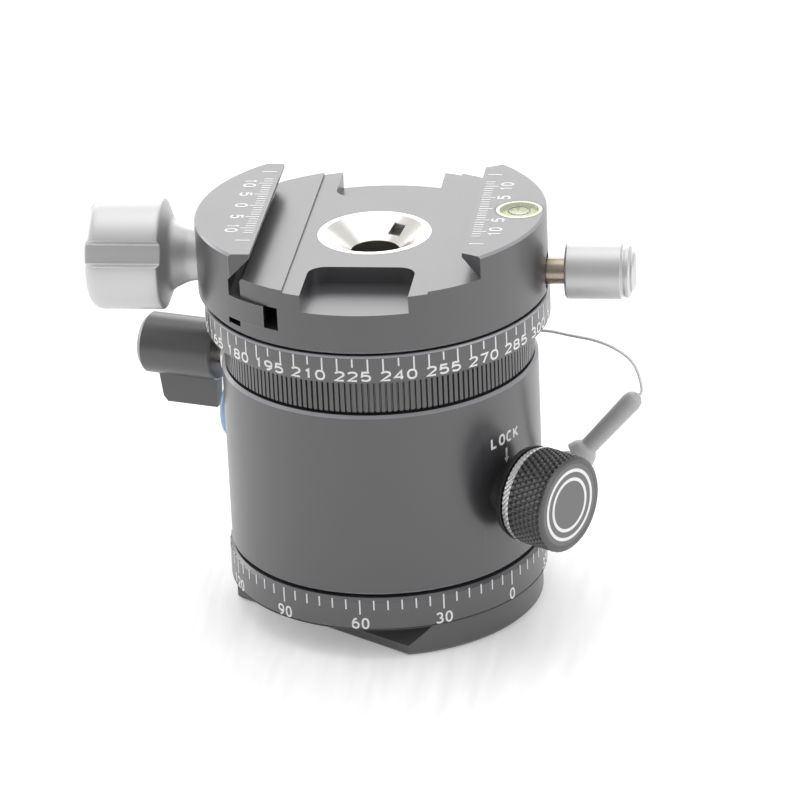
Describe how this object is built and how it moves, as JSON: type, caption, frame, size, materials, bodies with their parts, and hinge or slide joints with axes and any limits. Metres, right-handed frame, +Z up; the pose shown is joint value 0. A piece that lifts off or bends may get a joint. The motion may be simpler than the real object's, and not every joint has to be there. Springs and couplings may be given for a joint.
{
  "type": "panoramic tripod head",
  "caption": "Panoramic tripod head: dovetail foot, panning base with a locking lever, indexing rotor with a spring pin, and a panning plate clamp with a screw-driven jaw.",
  "frame": {"origin": "centre of the tripod thread's mouth on the foot's underside", "axes": "+Z up along the pan axis, +X from the clamp's sliding jaw to its fixed lip, +Y along the plate channel away from the front"},
  "size_m": [0.0955, 0.0602, 0.0741],
  "materials": {
    "body_black": "black anodised, satin",
    "face_black": "black anodised, turned and glossy",
    "hub_grey": "turned, clear anodised",
    "knob_silver": "clear anodised, bead blasted",
    "steel": "ground stainless",
    "brass": "turned",
    "slip_plastic": "low-friction, milky",
    "cap_blue": "blue anodised, satin",
    "level_green": "tinted liquid",
    "level_glass": "clear, polished"
  },
  "bodies": {
    "base": {"base_plate": "body_black", "base_dial": "body_black", "base_insert": "steel", "base_screws": "steel", "base_hub": "hub_grey", "base_washer": "slip_plastic", "pivot_nut": "brass"},
    "housing": {"housing": "body_black", "post_bush": "brass", "top_washer": "slip_plastic", "index_bush": "brass", "index_barrel": "body_black", "index_spring": "steel", "tether_anchor": "steel", "tether_wire": "steel"},
    "index_rotor": {"index_ring": "body_black", "index_drum": "hub_grey", "drum_screws": "steel", "drum_circlip": "steel", "thrust_ring": "slip_plastic"},
    "clamp": {"clamp_disc": "body_black", "centre_bushing": "steel", "clamp_spindle": "steel", "spindle_nut": "brass", "clamp_nut": "brass", "guide_pins": "steel", "jaw_springs": "steel", "level_cup": "hub_grey", "level_fluid": "level_green", "level_lens": "level_glass"},
    "jaw": {"clamp_jaw": "body_black", "jaw_washer": "steel"},
    "clamp_knob": {"clamp_knob": "knob_silver", "knob_cap": "knob_silver", "clamp_screw": "steel"},
    "lock_pad": {"lock_pad": "brass"},
    "lock_knob": {"lock_screw": "steel", "lock_knob": "knob_silver", "lock_cap": "knob_silver"},
    "index_pin": {"index_pin": "steel", "cam_pin": "steel"},
    "index_knob": {"index_knob": "body_black", "index_band": "knob_silver", "index_face": "face_black", "index_inlay": "knob_silver"},
    "wing_pad": {"wing_pad": "brass"},
    "wing_knob": {"wing_screw": "steel", "wing_washer": "steel", "wing_knob": "body_black", "wing_cap": "body_black"},
    "drag": {"drag_cap": "cap_blue", "drag_shaft": "steel"},
    "lever_pad": {"lever_pad": "brass"},
    "lever": {"lever_screw": "steel", "lever_hub": "body_black", "lever_arm": "body_black"}
  },
  "joints": [
    {"name": "base_pan", "type": "hinge", "parent": "base", "child": "housing", "pos_m": [0, 0, 0.0124], "axis": [0, 0, 1], "continuous": true},
    {"name": "index_turn", "type": "hinge", "parent": "housing", "child": "index_rotor", "pos_m": [0, 0, 0.0464], "axis": [0, 0, 1], "continuous": true},
    {"name": "clamp_pan", "type": "hinge", "parent": "index_rotor", "child": "clamp", "pos_m": [0, 0, 0.05852], "axis": [0, 0, 1], "continuous": true},
    {"name": "jaw_slide", "type": "slide", "parent": "clamp", "child": "jaw", "axis": [1, 0, 0], "range_m": [-0.004, 0.0016], "deforming": ["jaw_springs"]},
    {"name": "knob_turn", "type": "hinge", "parent": "jaw", "child": "clamp_knob", "pos_m": [-0.04, 0, 0.06435], "axis": [1, 0, 0], "range_deg": [-1801, 721]},
    {"name": "lock_slide", "type": "slide", "parent": "clamp", "child": "lock_pad", "axis": [-1, 0, 0], "range_m": [-0.0004, 0.0004]},
    {"name": "lock_turn", "type": "hinge", "parent": "lock_pad", "child": "lock_knob", "pos_m": [0.036, 0, 0.06174], "axis": [-1, 0, 0], "range_deg": [-180.5, 180.5]},
    {"name": "index_knob_turn", "type": "hinge", "parent": "housing", "child": "index_knob", "pos_m": [0.03056, -0.01902, 0.02719], "axis": [0.849, -0.5284, 0], "range_deg": [0, 90.2]},
    {"name": "pin_slide", "type": "slide", "parent": "housing", "child": "index_pin", "axis": [-0.849, 0.5284, 0], "range_m": [0, 0.0026], "deforming": ["index_spring"]},
    {"name": "wing_slide", "type": "slide", "parent": "housing", "child": "wing_pad", "axis": [0.9659, -0.2588, 0], "range_m": [-0.0004, 0.0004]},
    {"name": "wing_turn", "type": "hinge", "parent": "wing_pad", "child": "wing_knob", "pos_m": [-0.03477, 0.00932, 0.04266], "axis": [0.9659, -0.2588, 0], "range_deg": [-180.5, 180.5]},
    {"name": "drag_turn", "type": "hinge", "parent": "housing", "child": "drag", "pos_m": [-0.02705, 0.00725, 0.03233], "axis": [-0.9659, 0.2588, 0], "range_deg": [-90, 90]},
    {"name": "lever_slide", "type": "slide", "parent": "housing", "child": "lever_pad", "axis": [-0.9903, -0.1392, 0], "range_m": [-0.00025, 0.00025]},
    {"name": "lever_turn", "type": "hinge", "parent": "lever_pad", "child": "lever", "pos_m": [0.0307, 0.00431, 0.0207], "axis": [-0.9903, -0.1392, 0], "range_deg": [-60.2, 60.2], "deforming": ["tether_wire"]}
  ],
  "couplings": [
    {"joint": "knob_turn", "follows": "jaw_slide", "rad_per_m": 7854},
    {"joint": "lock_turn", "follows": "lock_slide", "rad_per_m": 7854},
    {"joint": "index_knob_turn", "follows": "pin_slide", "rad_per_m": 604.15},
    {"joint": "wing_turn", "follows": "wing_slide", "rad_per_m": 7854},
    {"joint": "lever_turn", "follows": "lever_slide", "rad_per_m": 4188.8}
  ]
}
